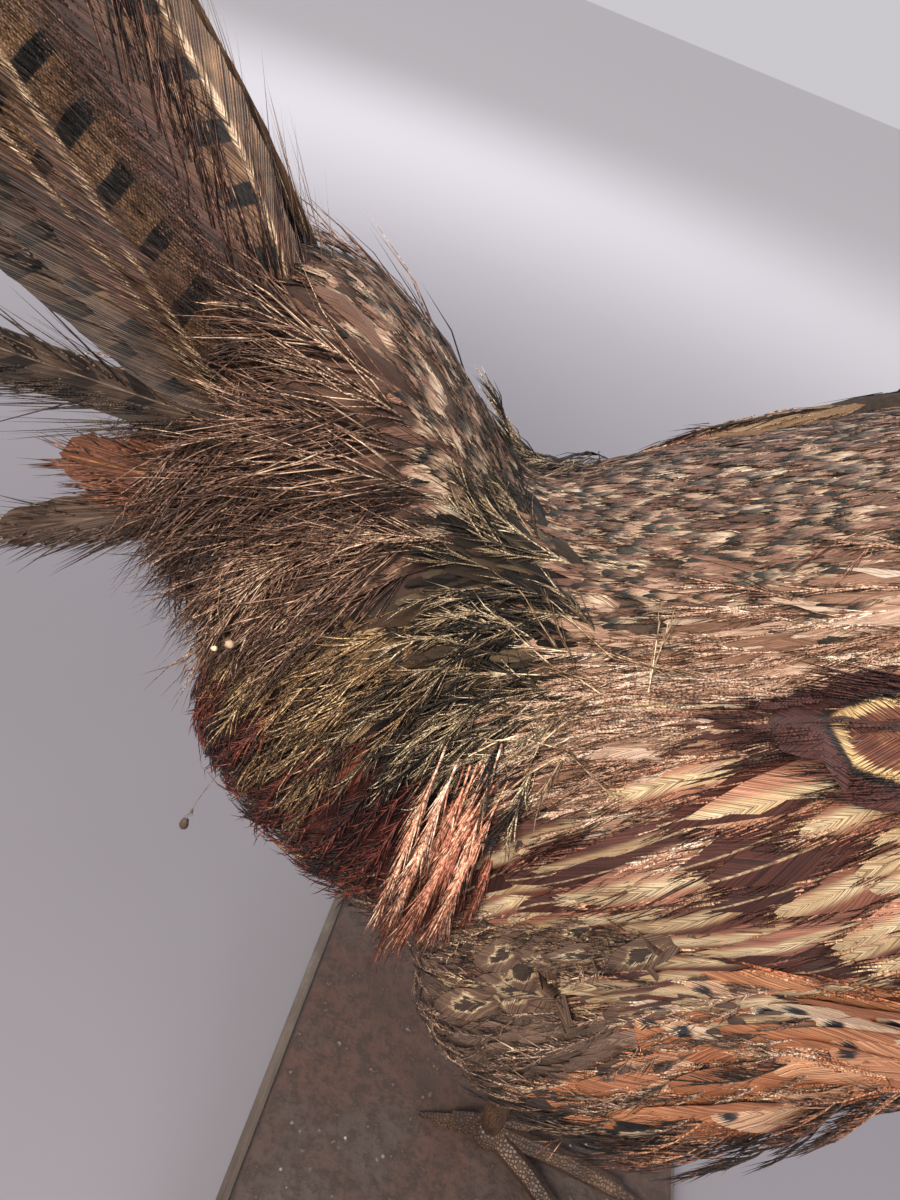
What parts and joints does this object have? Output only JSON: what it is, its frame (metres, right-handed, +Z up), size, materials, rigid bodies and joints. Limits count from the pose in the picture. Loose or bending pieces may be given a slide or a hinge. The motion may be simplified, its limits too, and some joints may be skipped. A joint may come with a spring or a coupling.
{
  "type": "taxidermy pheasant on a board",
  "caption": "Mounted cock pheasant standing on a small board, chest raised and long tail cocked, with old worn plumage.",
  "frame": {"origin": "centre of the flat underside of the board", "axes": "+X the way the bird faces, +Y its left side, +Z up"},
  "size_m": [0.6356, 0.18, 0.5227],
  "materials": {
    "wood": "dull dark stain",
    "earth": "matt dried earth with specks",
    "vent_feathers": "loose brown and maroon feathers",
    "back_feathers": "mottled buff, black and dark green feathers",
    "breast_feathers": "copper feathers with dark tips",
    "white_feathers": "short off-white feathers",
    "green_feathers": "glossy dark green feathers",
    "wing_coverts": "cream-centred feathers with maroon edges",
    "flight_feathers": "barred brown flight feathers",
    "thigh_down": "grey-brown down",
    "tail_vanes": "buff vanes with black bars",
    "wattle_skin": "dried red skin",
    "bill_horn": "pale horn",
    "leg_scale": "dried scaly skin",
    "glass_eye": "polished glass"
  },
  "bodies": {
    "root": {"base_board": "wood", "base_groundwork": "earth", "bill_lower": "bill_horn", "bill_upper": "bill_horn", "breast": "breast_feathers", "ear_tuft_L": "green_feathers", "ear_tuft_R": "green_feathers", "eye_L": "glass_eye", "eye_R": "glass_eye", "foot_L": "leg_scale", "foot_R": "leg_scale", "head": "green_feathers", "neck_collar": "white_feathers", "neck_lower": "green_feathers", "neck_upper": "green_feathers", "rump": "vent_feathers", "shank_L": "leg_scale", "shank_R": "leg_scale", "tail_coverts": "back_feathers", "tail_feather_1_L": "tail_vanes", "tail_feather_1_R": "tail_vanes", "tail_feather_2_L": "tail_vanes", "tail_feather_2_R": "tail_vanes", "tail_feather_3_L": "tail_vanes", "tail_feather_3_R": "tail_vanes", "tail_feather_4_L": "tail_vanes", "tail_feather_4_R": "tail_vanes", "tail_feather_5_L": "tail_vanes", "tail_feather_5_R": "tail_vanes", "tail_feather_6_L": "tail_vanes", "tail_feather_6_R": "tail_vanes", "tail_feather_7_L": "tail_vanes", "tail_feather_7_R": "tail_vanes", "thigh_L": "thigh_down", "thigh_R": "thigh_down", "trunk": "back_feathers", "undertail": "vent_feathers", "wattle_L": "wattle_skin", "wattle_R": "wattle_skin", "wing_coverts_L": "wing_coverts", "wing_coverts_R": "wing_coverts", "wing_flight_L": "flight_feathers", "wing_flight_R": "flight_feathers"}
  },
  "joints": []
}
